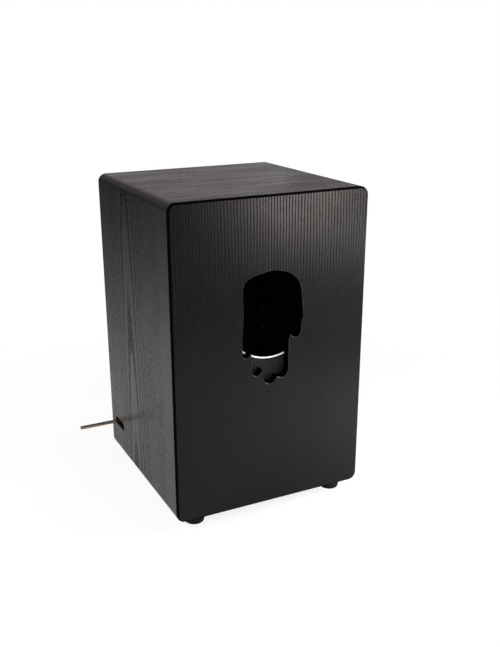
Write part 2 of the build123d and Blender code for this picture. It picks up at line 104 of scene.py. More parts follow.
class NodeSheet:
    """A node tree, with short calls for the nodes that the finishes and the studio use."""

    def __init__(self, owner: bpy.types.Material | bpy.types.World) -> None:
        """Start an empty tree.

        Args:
            owner: the material or world that the tree belongs to.
        """
        owner.use_nodes = True
        self.tree = owner.node_tree
        self.tree.nodes.clear()

    def feed(self, socket: Socket, value: Feed) -> None:
        """Link a socket to another, or set its value.

        Args:
            socket: the input.
            value: an output to link, a number or a colour.
        """
        if isinstance(value, Socket):
            self.tree.links.new(value, socket)
        elif isinstance(value, tuple) and len(value) == 3 and len(socket.default_value) == 4:
            socket.default_value = (*value, 1.0)
        else:
            socket.default_value = value

    def node(self, kind: str, feeds: dict[int | str, Feed], out: int | str = 0, **settings: str) -> Socket:
        """Add a node.

        Args:
            kind: the node's type.
            feeds: what goes into its inputs, by index or name.
            out: the index or name of the output to return.
            settings: the node's own options.

        Returns:
            The chosen output.
        """
        made = self.tree.nodes.new(kind)
        for name, setting in settings.items():
            setattr(made, name, setting)
        for key, value in feeds.items():
            self.feed(made.inputs[key], value)
        return made.outputs[out]

    def end(self, kind: str, surface: Socket) -> None:
        """Link a shader to the tree's output, a node of this kind."""
        self.feed(self.tree.nodes.new(kind).inputs["Surface"], surface)

    def place(self) -> Socket:
        """The point's Object coordinates, in metres."""
        return self.node("ShaderNodeTexCoord", {}, "Object")

    def camera_ray(self) -> Socket:
        """1 where the camera looks straight at the surface, and 0 for light that bounces off it."""
        return self.node("ShaderNodeLightPath", {}, "Is Camera Ray")

    def maths(self, operation: str, *values: Value) -> Socket:
        """A Math node's result for these values."""
        return self.node("ShaderNodeMath", dict(enumerate(values)), operation=operation)

    def total(self, *values: Value) -> Socket:
        """The sum of two or more values."""
        return reduce(partial(self.maths, "ADD"), values)

    def product(self, *values: Value) -> Socket:
        """The product of two or more values."""
        return reduce(partial(self.maths, "MULTIPLY"), values)

    def rise(self, value: Value, low: float, high: float, bottom: float = 0.0, top: float = 1.0) -> Socket:
        """A smooth rise from bottom to top as value goes from low to high."""
        feeds = {0: value, 1: low, 2: high, 3: bottom, 4: top}
        return self.node("ShaderNodeMapRange", feeds, interpolation_type="SMOOTHSTEP")

    def noise(self, places: Sequence[Value], grain: Grain) -> Socket:
        """Soft noise about 0.5, at three coordinates that are already counted in grains."""
        at = self.node("ShaderNodeCombineXYZ", dict(enumerate(places)))
        feeds = {"Vector": at, "Scale": 1.0, "Detail": grain.layers, "Roughness": grain.rough}
        return self.node("ShaderNodeTexNoise", feeds)

    def board_noise(self, a: Socket, l: Socket, grain: Grain, seed: float) -> Socket:
        """Noise over a board, at a across its grain and l along it. The seed picks the board's own slice."""
        places = (self.product(a, grain.across), self.product(l, grain.along), seed + grain.shift)
        return self.noise(places, grain)

    def blend(self, share: Value, first: Socket | Colour, second: Socket | Colour) -> Socket:
        """A colour between first and second, by share."""
        feeds = {0: share, 6: first, 7: second}
        return self.node("ShaderNodeMix", feeds, out=2, data_type="RGBA")


class FinishSheet(NodeSheet):
    """A material's tree, round one Principled shader."""

    def __init__(self, owner: bpy.types.Material) -> None:
        """Start the tree with its shader.

        Args:
            owner: the material.
        """
        super().__init__(owner)
        self.shader = self.tree.nodes.new("ShaderNodeBsdfPrincipled")
        self.end("ShaderNodeOutputMaterial", self.shader.outputs["BSDF"])
        split = self.tree.nodes.new("ShaderNodeSeparateXYZ")
        self.feed(split.inputs[0], self.place())
        self.places = tuple(split.outputs)

    def even_noise(self, grain: Grain) -> Socket:
        """Noise with the same number of grains to the metre in all three directions."""
        return self.noise([self.product(place, grain.across) for place in self.places], grain)

    def relief(self, height: Socket, depth: float, strength: float) -> None:
        """Bump the surface by a height from 0 to 1 that is depth metres tall."""
        feeds = {"Height": height, "Distance": depth, "Strength": strength}
        self.feed(self.shader.inputs["Normal"], self.node("ShaderNodeBump", feeds))

    def shade(self, **sockets: Feed) -> None:
        """Feed the shader's inputs, each named with underscores for spaces."""
        names = {name.replace(" ", "_").lower(): name for name in self.shader.inputs.keys()}
        for name, value in sockets.items():
            self.feed(self.shader.inputs[names[name]], value)


@dataclass(frozen=True)
class Finish:
    """A finish: its material, built the first time that it is asked for, and the record's slot for it."""

    name: str
    slot: str

    def material(self) -> bpy.types.Material:
        """The finish's material, built once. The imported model's is used where it has one of this name."""
        made = bpy.data.materials.get(self.name)
        if made is None:
            made = bpy.data.materials.new(self.name)
            self.paint(FinishSheet(made))
        return made

    def paint(self, sheet: FinishSheet) -> None:
        """Fill the material's tree."""
        raise NotImplementedError


@dataclass(frozen=True)
class AshFoil(Finish):
    """Black-stained, lacquered ash, cut straight or with the tall arches of a flat-sawn board.

    A growth ring is a tube round the pith. Seen square on, with a across the grain and l along it, a point
    lies sqrt(a squared + d squared) from the pith, and d = depth + tilt * l is how deep the pith runs below
    the face. Rings are that distance over the ring's width; a pith at no depth gives straight rings, a
    over the ring's width. Each ring starts with a row of open pores, which thin out by the share porous.

    A pore is black from every side, so there the shader turns into a metal of the pore's colour. The figure
    lies about a = centre and l = mark, and only where the board reaches face along outward: its rounded
    edges, and all of a board that stops short of face, are plain and of the colour edge.

    The noise that breaks up the pores is coarse times wider and stretch times longer than in fine ash, and
    leaves them at least even strong. By the share banding, long bands have weaker pores. By mottle, short
    flecks take over from mottle_from outwards, and pores fade below a = -calm. Pores keep the share quiet of
    their strength below the height painted_light_from, and all of it above painted_light_to; this fading is
    painted light, for the light that hides the pores low on the face.
    """

    WANDER = Grain(9.0, 3.0, rough=0.5)
    RIPPLE = Grain(110.0, 42.0, 3.0)
    DASH = Grain(900.0, 260.0)
    FIBRE = Grain(2600.0, 60.0, 7.0)
    FLECKS = Grain(380.0, 230.0, 5.0)
    BAND = Grain(75.0, 5.0, 13.0)
    CLOUD = Grain(30.0, 11.0, 9.0, rough=0.5)
    PATCH = Grain(22.0, 7.0, 11.0, layers=3.0)
    HANDLED = Grain(14.0, layers=3.0)
    BEND = 16.0 * MM
    ROW_START = 0.10
    ROW_END = 0.16
    ROUNDING = 1.4 * MM
    SKIN = 0.2 * MM
    FADE = 8.0 * MM

    across: Axis
    along: Axis
    outward: Axis
    face: float
    centre: float = 0.0
    mark: float = 0.0
    depth: float = 0.0
    tilt: float = 0.0148
    ring: float = 4.9 * MM
    porous: float = 0.36
    seed: float = 0.0
    wave: float = 1.2 * MM
    mottle: float = 0.0
    mottle_from: float = 48.0 * MM
    calm: float = 1.0
    coarse: float = 1.0
    stretch: float = 1.0
    even: float = 0.2
    banding: float = 0.0
    contrast: float = 1.0
    # Painted light: below painted_light_from the pores fade to the share quiet, for the light that hides them
    # low on the face.
    pore_share_in_painted_light: float = 1.0
    painted_light_from: float = 0.22
    painted_light_to: float = 0.38
    relief_depth: float = 0.04 * MM
    plain: Colour = (0.0042, 0.0040, 0.0039)
    warm: Colour = (0.0060, 0.0050, 0.0046)
    pore: Colour = (0.0003, 0.0003, 0.0003)
    edge: Colour = (0.004, 0.004, 0.004)
    roughness: float = 0.28
    pore_rough: float = 0.25
    specular: float = 0.12

    def paint(self, sheet: FinishSheet) -> None:
        """Fill the tree: rings, pores along them, slow patches of colour, and the plain rounded edges."""
        a = sheet.maths("SUBTRACT", sheet.places[self.across.value], self.centre)
        l = sheet.maths("SUBTRACT", sheet.places[self.along.value], self.mark)
        fibre = self.fine_noise(sheet, a, l, self.FIBRE)

        out = sheet.product(sheet.places[self.outward.value], math.copysign(1.0, self.face))
        flat = sheet.rise(out, abs(self.face) - self.ROUNDING, abs(self.face) - self.SKIN)
        # Painted light: strength fades the pores low on the face, where the light hides them.
        strength = sheet.rise(sheet.places[self.along.value], self.painted_light_from, self.painted_light_to, self.pore_share_in_painted_light, 1.0)
        dark = sheet.product(self.pores(sheet, a, l), flat, strength, self.contrast)

        patch = sheet.board_noise(a, l, self.PATCH, self.seed)
        ground = sheet.blend(sheet.rise(patch, 0.35, 0.66), self.plain, self.warm)
        ground = sheet.blend(sheet.rise(fibre, 0.35, 0.7, 0.0, 0.30), ground, self.edge)
        ground = sheet.blend(flat, self.edge, ground)
        handled = sheet.even_noise(self.HANDLED)
        gloss = sheet.rise(handled, 0.3, 0.7, self.roughness - 0.015, self.roughness + 0.02)
        sheet.shade(
            base_color=sheet.blend(dark, ground, self.pore),
            roughness=sheet.total(gloss, sheet.product(dark, self.pore_rough)),
            metallic=dark,
            specular_ior_level=self.specular,
        )
        fibres = sheet.product(fibre, flat, 0.12)
        sheet.relief(sheet.maths("SUBTRACT", fibres, dark), self.relief_depth, 0.8)

    def pores(self, sheet: FinishSheet, a: Socket, l: Socket) -> Socket:
        """The strength of the pores on an endless flat board.

        Args:
            sheet: the tree to add to.
            a: distance across the grain.
            l: distance along it from the mark.

        Returns:
            A share from 0 to 1.
        """
        wander = sheet.board_noise(a, l, self.WANDER, self.seed)
        ripple = sheet.board_noise(a, l, self.RIPPLE, self.seed)
        bent = sheet.total(
            a,
            sheet.product(sheet.maths("SUBTRACT", wander, 0.5), self.BEND),
            sheet.product(sheet.maths("SUBTRACT", ripple, 0.5), 2.0 * self.wave),
        )
        turn = sheet.maths("FRACT", sheet.maths("DIVIDE", self.distance(sheet, bent, l), self.ring))
        closing = sheet.rise(turn, self.porous + self.ROW_END, self.porous - self.ROW_END)
        row = sheet.product(sheet.rise(turn, 0.0, self.ROW_START), closing)

        dash, flecks = (self.fine_noise(sheet, a, l, grain) for grain in (self.DASH, self.FLECKS))
        mean = sheet.total(sheet.product(dash, 0.5), sheet.product(flecks, 0.5))
        broken = sheet.product(row, sheet.rise(mean, 0.40, 0.58, self.even, 1.0))
        dark = sheet.maths("MAXIMUM", broken, sheet.rise(dash, 0.58, 0.70, 0.0, 0.35))
        if self.banding:
            band = sheet.board_noise(a, l, self.BAND, self.seed)
            dark = sheet.product(dark, sheet.rise(band, 0.40, 0.60, 1.0 - self.banding, 1.0))
        if self.mottle:
            off = sheet.maths("ABSOLUTE", a)
            zone = sheet.rise(off, self.mottle_from - 6.0 * MM, self.mottle_from + self.FADE)
            cloud = sheet.board_noise(a, l, self.CLOUD, self.seed)
            amount = sheet.product(zone, sheet.rise(cloud, 0.36, 0.62, 0.35, 1.0), self.mottle)
            flecks = sheet.product(sheet.rise(flecks, 0.46, 0.66), amount)
            dark = sheet.maths("MAXIMUM", sheet.product(dark, sheet.rise(zone, 0.0, 1.0, 1.0, 0.45)), flecks)
            faded = sheet.rise(a, -self.calm - self.FADE, -self.calm + self.FADE, 0.15, 1.0)
            dark = sheet.product(dark, faded)
        return dark

    def fine_noise(self, sheet: FinishSheet, a: Socket, l: Socket, grain: Grain) -> Socket:
        """Noise on the scale of the pores, coarse times wider and stretch times longer."""
        wide, long = sheet.product(a, 1.0 / self.coarse), sheet.product(l, 1.0 / self.stretch)
        return sheet.board_noise(wide, long, grain, self.seed)

    def distance(self, sheet: FinishSheet, a: Socket, l: Socket) -> Socket:
        """How far from the pith a point is, moved on by a fixed length so that it is never negative.

        Args:
            sheet: the tree to add to.
            a: distance across the grain.
            l: distance along it from the mark.

        Returns:
            The distance in metres, as the class's formula gives it.
        """
        if not self.depth:
            return sheet.total(a, 1.0)
        d = sheet.maths("MULTIPLY_ADD", l, self.tilt, self.depth)
        far = sheet.maths("SQRT", sheet.total(sheet.product(a, a), sheet.product(d, d)))
        return sheet.total(far, 50 * self.ring - self.depth)


@dataclass(frozen=True)
class BlackPaint(Finish):
    """Rolled black paint on cut edges: a faint stipple, and fibres that show through in places."""

    STIPPLE = Grain(1500.0)
    CLOUD = Grain(60.0, layers=3.0)

    colour: Colour = (0.0004, 0.0004, 0.0004)
    roughness: float = 0.60
    specular: float = 0.010
    stipple: float = 0.05 * MM

    def paint(self, sheet: FinishSheet) -> None:
        """Fill the tree with the stipple and its fibres."""
        cloud = sheet.even_noise(self.CLOUD)
        worn = tuple(channel * 2.0 + 0.0004 for channel in self.colour)
        sheet.shade(
            base_color=sheet.blend(sheet.rise(cloud, 0.45, 0.75), self.colour, worn),
            roughness=sheet.rise(cloud, 0.3, 0.7, self.roughness - 0.06, self.roughness + 0.06),
            specular_ior_level=self.specular,
        )
        sheet.relief(sheet.even_noise(self.STIPPLE), self.stipple, 0.5)


@dataclass(frozen=True)
class PlainWood(Finish):
    """Planed wood, near black as painted shade: rings from a slow distance field, fine fibres, and short dark
    flecks.

    With a and b across the grain, a ring's distance from the far pith is 0.8 a + 0.6 b, bent by noise.
    """

    BEND = Grain(14.0, 4.0, rough=0.5)
    FIBRE = Grain(1500.0, 70.0)
    FLECKS = Grain(900.0, 160.0, layers=1.0, rough=0.5)

    along: Axis
    # Both ring colours are near black: painted shade for the dark inside of the box.
    light: Colour = (0.0014, 0.0010, 0.0008)
    dark: Colour = (0.0006, 0.0004, 0.0004)
    ring: float = 3.0 * MM
    bend: float = 12.0 * MM
    fleck: float = 0.25
    specular: float = 0.05
    fibre_height: float = 0.06 * MM

    def paint(self, sheet: FinishSheet) -> None:
        """Fill the tree: rings about a far pith, bent by noise, with fibres and flecks."""
        l = sheet.places[self.along.value]
        a, b = (sheet.places[axis.value] for axis in Axis if axis is not self.along)

        def stretched(grain: Grain) -> Socket:
            """Noise with this grain, along the wood's own."""
            across = (sheet.product(a, grain.across), sheet.product(b, grain.across))
            return sheet.noise((*across, sheet.product(l, grain.along)), grain)

        far = (sheet.product(a, 0.8), sheet.product(b, 0.6), sheet.product(stretched(self.BEND), self.bend))
        turn = sheet.maths("FRACT", sheet.maths("DIVIDE", sheet.total(*far, 1.0), self.ring))
        late = sheet.product(sheet.rise(turn, 0.35, 0.92), sheet.rise(turn, 1.0, 0.94))
        fibre = stretched(self.FIBRE)
        tone = sheet.total(sheet.product(late, 0.55), sheet.rise(fibre, 0.3, 0.7, 0.0, 0.35))
        colour = sheet.blend(tone, self.light, self.dark)
        speck = sheet.rise(stretched(self.FLECKS), 0.62, 0.70, 0.0, self.fleck)
        sheet.shade(
            base_color=sheet.blend(speck, colour, tuple(channel * 0.5 for channel in self.dark)),
            roughness=sheet.rise(fibre, 0.3, 0.7, 0.58, 0.72),
            specular_ior_level=self.specular,
        )
        sheet.relief(fibre, self.fibre_height, 0.5)


@dataclass(frozen=True)
class Metal(Finish):
    """Drawn or turned metal: fine scratches along one direction, soft stains and a few dull patches."""

    SCRATCH = Grain(2400.0, 40.0)
    CLOUD = Grain(90.0, layers=3.0)

    drawn: Axis = Axis.X
    colour: Colour = (0.55, 0.52, 0.48)
    stain: Colour = (0.34, 0.30, 0.26)
    roughness: float = 0.30
    scratch: float = 0.02 * MM

    def paint(self, sheet: FinishSheet) -> None:
        """Fill the tree: noise stretched along the drawing direction, and slow stains."""
        pulls = [self.SCRATCH.along if axis is self.drawn else self.SCRATCH.across for axis in Axis]
        places = [sheet.product(place, pull) for place, pull in zip(sheet.places, pulls)]
        lines = sheet.noise(places, self.SCRATCH)
        cloud = sheet.even_noise(self.CLOUD)
        share = sheet.total(sheet.rise(cloud, 0.48, 0.74, 0.0, 0.6), sheet.rise(lines, 0.4, 0.7, 0.0, 0.2))
        sheet.shade(
            base_color=sheet.blend(share, self.colour, self.stain),
            metallic=1.0,
            roughness=sheet.rise(lines, 0.3, 0.7, self.roughness - 0.06, self.roughness + 0.10),
        )
        sheet.relief(lines, self.scratch, 0.5)


@dataclass(frozen=True)
class Moulded(Finish):
    """Moulded rubber or plastic: a fine leathery grain, with dust in its hollows.

    Where painted_from is set, everything beyond that y is painted black.
    """

    SKIN = Grain(1300.0, rough=0.55)
    CLOUD = Grain(120.0, layers=3.0)
    BLACK = (0.0006, 0.0006, 0.0006)

    colour: Colour
    dust: Colour = (0.030, 0.029, 0.027)
    roughness: float = 0.6
    specular: float = 0.25
    grain: float = 0.05 * MM
    painted_from: float | None = None

    def paint(self, sheet: FinishSheet) -> None:
        """Fill the tree with the grain, the dust and the paint."""
        skin = sheet.even_noise(self.SKIN)
        cloud = sheet.even_noise(self.CLOUD)
        share = sheet.product(sheet.rise(cloud, 0.42, 0.72), sheet.rise(skin, 0.55, 0.35))
        colour = sheet.blend(share, self.colour, self.dust)
        if self.painted_from is not None:
            low, high = self.painted_from - 0.1 * MM, self.painted_from + 0.1 * MM
            colour = sheet.blend(sheet.rise(sheet.places[Axis.Y.value], low, high), colour, self.BLACK)
        sheet.shade(
            base_color=colour,
            roughness=sheet.rise(cloud, 0.3, 0.7, self.roughness - 0.05, self.roughness + 0.08),
            specular_ior_level=self.specular,
        )
        sheet.relief(skin, self.grain, 0.6)


@dataclass(frozen=True)
class Finishes:
    """Every finish on the drum but the foils, which depend on their boards' places.

    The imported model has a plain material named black_screw, so the screws show that one and not this paint.
    """

    rim_paint: Finish = BlackPaint("rim_paint", ASH)
    # Near-black paint on the inner faces: painted shade for the dark inside of the box.
    inside_painted_shade: Finish = BlackPaint("inside_painted_shade", ASH, (0.003, 0.003, 0.003), 0.85, 0.05)
    lacquer: Finish = BlackPaint("black_lacquer", ASH, (0.008, 0.008, 0.008), 0.42, 0.4, 0.01 * MM)
    steel: Finish = Metal("drawn_steel", STEEL)
    rod_steel: Finish = Metal(
        "rod_steel", STEEL, Axis.X, (0.34, 0.27, 0.19), (0.26, 0.20, 0.14), 0.22, 0.002 * MM
    )
    wire: Finish = Metal("snare_wire", STEEL, Axis.Z, (0.62, 0.61, 0.58), (0.42, 0.40, 0.36), 0.24)
    brass: Finish = Metal("strip_brass", "brass", Axis.X, (0.74, 0.55, 0.26), (0.42, 0.29, 0.12), 0.30)
    screw: Finish = Metal(
        "black_screw", "black_screw", Axis.Z, (0.045, 0.045, 0.047), (0.02, 0.02, 0.02), 0.38
    )
    band: Finish = Moulded("port_band", "bright_band", (0.90, 0.90, 0.882), (0.83, 0.83, 0.812), 0.45, 0.4)
    rubber: Finish = Moulded("foot_rubber", RUBBER, (0.003, 0.003, 0.003), (0.008, 0.008, 0.007), 0.6, 0.12)
    soft_rubber: Finish = Moulded("washer_rubber", RUBBER, colour=(0.02, 0.02, 0.02), roughness=0.7)
    # The bushes are near black: painted shade, so that they stay as dark as the box's shaded inside.
    nylon: Finish = Moulded("bush_nylon_painted_shade", "nylon", (0.006, 0.006, 0.006), (0.012, 0.012, 0.011), 0.5, 0.1)
    # The wood inside the box is near black: painted shade for its dark inside.
    batten_x: Finish = PlainWood("batten_wood_x_painted_shade", WOOD, Axis.X)
    batten_y: Finish = PlainWood("batten_wood_y_painted_shade", WOOD, Axis.Y)
    batten_z: Finish = PlainWood("batten_wood_z_painted_shade", WOOD, Axis.Z)
    beech_x_painted_shade: Finish = PlainWood("beech_x_painted_shade", WOOD, Axis.X, fleck=0.6)
    beech_z_painted_shade: Finish = PlainWood("beech_z_painted_shade", WOOD, Axis.Z, fleck=0.6)


# -------------------- surfaces


@dataclass
class Surface:
    """A closed surface as arrays: points in metres and four-sided faces, with triangles at its two ends."""

    points: Array
    quads: Array
    triangles: Array

    @classmethod
    def from_grid(cls, grid: Array) -> "Surface":
        """Close a grid of points round its second direction and cap its two ends with fans.

        Point (i, j) joins (i + 1, j) and (i, j + 1), the last column joins the first, and the mean of the
        first row and of the last row closes that end. Faces are turned over if the signed volume, the sum
        of p1 . (p2 x p3) / 6 over the triangles, is negative.

        Args:
            grid: rows by columns by three.

        Returns:
            The closed surface, with its faces outwards.
        """
        rows, columns = grid.shape[:2]
        number = np.arange(rows * columns).reshape(rows, columns)
        beside = np.roll(number, -1, axis=1)
        quads = np.stack((number[:-1], beside[:-1], beside[1:], number[1:]), axis=-1).reshape(-1, 4)
        first, last = rows * columns, rows * columns + 1
        starts = np.stack((beside[0], number[0], np.full(columns, first)), axis=-1)
        ends = np.stack((number[-1], beside[-1], np.full(columns, last)), axis=-1)
        points = np.concatenate((grid.reshape(-1, 3), grid[0].mean(0)[None], grid[-1].mean(0)[None]))
        made = cls(points, quads, np.concatenate((starts, ends)))
        return made if made.volume() > 0 else cls(points, quads[:, ::-1], made.triangles[:, ::-1])

    def volume(self) -> float:
        """The signed volume inside the faces, in cubic metres."""
        halves = (self.quads[:, [0, 1, 2]], self.quads[:, [0, 2, 3]], self.triangles)
        p, q, r = (self.points[np.concatenate(halves)[:, i]] for i in range(3))
        return float(np.einsum("ij,ij->", p, np.cross(q, r)) / 6)

    def placed(self, origin: Array, axes: Array) -> "Surface":
        """The surface with its own x, y and z along the rows of axes, and its origin at origin."""
        return Surface(self.points @ axes + origin, self.quads, self.triangles)

    @staticmethod
    def joined(surfaces: Iterable["Surface"]) -> "Surface":
        """Several surfaces as one, their face numbers moved up by the points before them."""
        surfaces = list(surfaces)
        starts = np.cumsum([0] + [len(each.points) for each in surfaces[:-1]])
        return Surface(
            np.concatenate([each.points for each in surfaces]),
            np.concatenate([each.quads + start for each, start in zip(surfaces, starts)]),
            np.concatenate([each.triangles + start for each, start in zip(surfaces, starts)]),
        )

    def piece(self, name: str, finish: Finish, body: str, replaces: str) -> None:
        """Make the object, dress it, hang it on its body and hide the CAD node that it stands for.

        Args:
            name: the piece's name.
            finish: its finish.
            body: the body that it rides on.
            replaces: the CAD node that it stands for.
        """
        mesh = bpy.data.meshes.new(name)
        mesh.from_pydata(self.points.tolist(), [], self.quads.tolist() + self.triangles.tolist())
        mesh.validate()
        mesh.shade_smooth()
        mesh.materials.append(finish.material())
        made = show(name, mesh)
        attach(made, body)
        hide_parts(replaces)
        log.info("%s: %d points, rides on %s, replaces %s", name, len(self.points), body, replaces)


def show(name: str, data: bpy.types.ID) -> bpy.types.Object:
    """A new object in the scene, with this data."""
    made = bpy.data.objects.new(name, data)
    bpy.context.scene.collection.objects.link(made)
    return made


def unit(vector: Array) -> Array:
    """The vector over its length."""
    return vector / np.linalg.norm(vector)


def square_axes(out: Array, side: Array) -> Array:
    """Rows x, y, z of a right-handed set whose z is out and whose x is side."""
    z, x = unit(out), unit(side)
    return np.stack((x, np.cross(z, x), z))


@dataclass(frozen=True)
class CrossScrew:
    """A threaded screw with a cross recess in its head.

    The surface is turned about z: the radius runs out over the head's face, in along its underside and
    down the shank, where it swells by a thread of height thread * (0.5 + 0.5 cos(2 pi (z / pitch - turn))).
    The head's face sinks by deep * arms * sqrt(1 - r / reach), where arms is the greater of
    exp(-(x / w)^4) and exp(-(y / w)^4), so that it takes a cross-point driver. The recess's reach and w are
    shares of the head's radius, and deep is a share of its height.
    """

    RECESS_REACH = 0.62
    RECESS_WIDTH = 0.13
    RECESS_DEPTH = 0.48
    FACE_RINGS = 12
    STEPS_PER_THREAD = 4

    radius: float
    head_radius: float
    length: float
    head_height: float
    countersunk: bool = True
    pitch: float = 1.3 * MM
    thread: float = 0.28 * MM
    sides: int = 28

    def surface(self) -> Surface:
        """The screw with its head's face at z = 0 and its point down at z = -length.

        Returns:
            The closed surface.
        """
        turn = np.linspace(0, 2 * math.pi, self.sides, endpoint=False)
        under = self.head_height
        face_r = np.linspace(0.04, 0.93, self.FACE_RINGS)[:, None] * self.head_radius
        reach, width = self.RECESS_REACH * self.head_radius, self.RECESS_WIDTH * self.head_radius
        deep = self.RECESS_DEPTH * under
        x, y = face_r * np.cos(turn), face_r * np.sin(turn)
        arms = np.maximum(np.exp(-((x / width) ** 4)), np.exp(-((y / width) ** 4)))
        if self.countersunk:
            crown, rim, base = 0.0, 0.0, 0.12 * under
        else:
            crown, rim, base = 0.3 * under * (face_r / self.head_radius) ** 2, 0.35 * under, under
        face_z = -deep * arms * np.sqrt(np.clip(1 - face_r / reach, 0, 1)) - crown
        face = np.stack((x, y, face_z), axis=-1)

        edge_r = np.array([0.985, 1.0, 1.0]) * self.head_radius
        edge_z = -np.array([rim + 0.02 * under, rim + 0.07 * under, base])
        steps = self.STEPS_PER_THREAD * int(self.length / self.pitch)
        shank_z = -np.linspace(under, self.length - 1.6 * self.radius, steps)
        swell = 0.5 + 0.5 * np.cos(2 * math.pi * shank_z[:, None] / self.pitch - turn[None])
        shank_r = self.radius - self.thread * (1 - swell)
        shank_r[0] = self.radius
        tip_r = np.array([0.45, 0.03]) * self.radius
        tip_z = -np.array([self.length - 0.5 * self.radius, self.length])
        turned_r = np.concatenate((edge_r[:, None] + 0 * turn, shank_r, tip_r[:, None] + 0 * turn))
        turned_z = np.concatenate((edge_z, shank_z, tip_z))[:, None] + 0 * turn
        rest = np.stack((turned_r * np.cos(turn), turned_r * np.sin(turn), turned_z), axis=-1)
        return Surface.from_grid(np.concatenate((face, rest)))

    def many(self, places: Iterable[tuple[Array, Array]], side: Array) -> Surface:
        """A screw at each head place with its outward direction, each turned a little differently.

        Args:
            places: pairs of head centre and outward direction.
            side: a direction square to every outward one.

        Returns:
            All the screws as one surface.
        """
        one = self.surface()
        made = []
        for number, (head, out) in enumerate(places):
            angle = 2.4 * number
            axes = square_axes(out, side)
            x = math.cos(angle) * axes[0] + math.sin(angle) * axes[1]
            made.append(one.placed(head, square_axes(out, x)))
        return Surface.joined(made)


# -------------------- subassemblies


def middle(node: str) -> Array:
    """The middle of a CAD node's box."""
    low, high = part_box(node)
    return (np.array(low) + np.array(high)) / 2


def spread(count: int, pitch: float) -> Array:
    """Evenly spaced places about zero."""
    return (np.arange(count) - (count - 1) / 2) * pitch


def dress(node: str, finish: Finish) -> None:
    """Give a CAD node one finish all over.

    Args:
        node: the node's name.
        finish: its finish.
    """
    shown = frame["nodes"][node]
    shown.data.materials.clear()
    shown.data.materials.append(finish.material())
    log.info("%s: %s", node, finish.name)


def dress_faces(node: str, finishes: Sequence[Finish], choose: Callable[[Array, Array], Array]) -> None:
    """Give a CAD node several finishes, one to a face.

    Args:
        node: the node's name.
        finishes: the finishes, the main one first.
        choose: gives each face the number of its finish, from the x, y and z of all centres and normals.
    """
    dress(node, finishes[0])
    mesh = frame["nodes"][node].data
    for finish in finishes[1:]:
        mesh.materials.append(finish.material())
    centres, normals = np.empty((len(mesh.polygons), 3)), np.empty((len(mesh.polygons), 3))
    mesh.polygons.foreach_get("center", centres.ravel())
    mesh.polygons.foreach_get("normal", normals.ravel())
    mesh.polygons.foreach_set("material_index", choose(centres.T, normals.T).astype(np.int32))
    mesh.update()


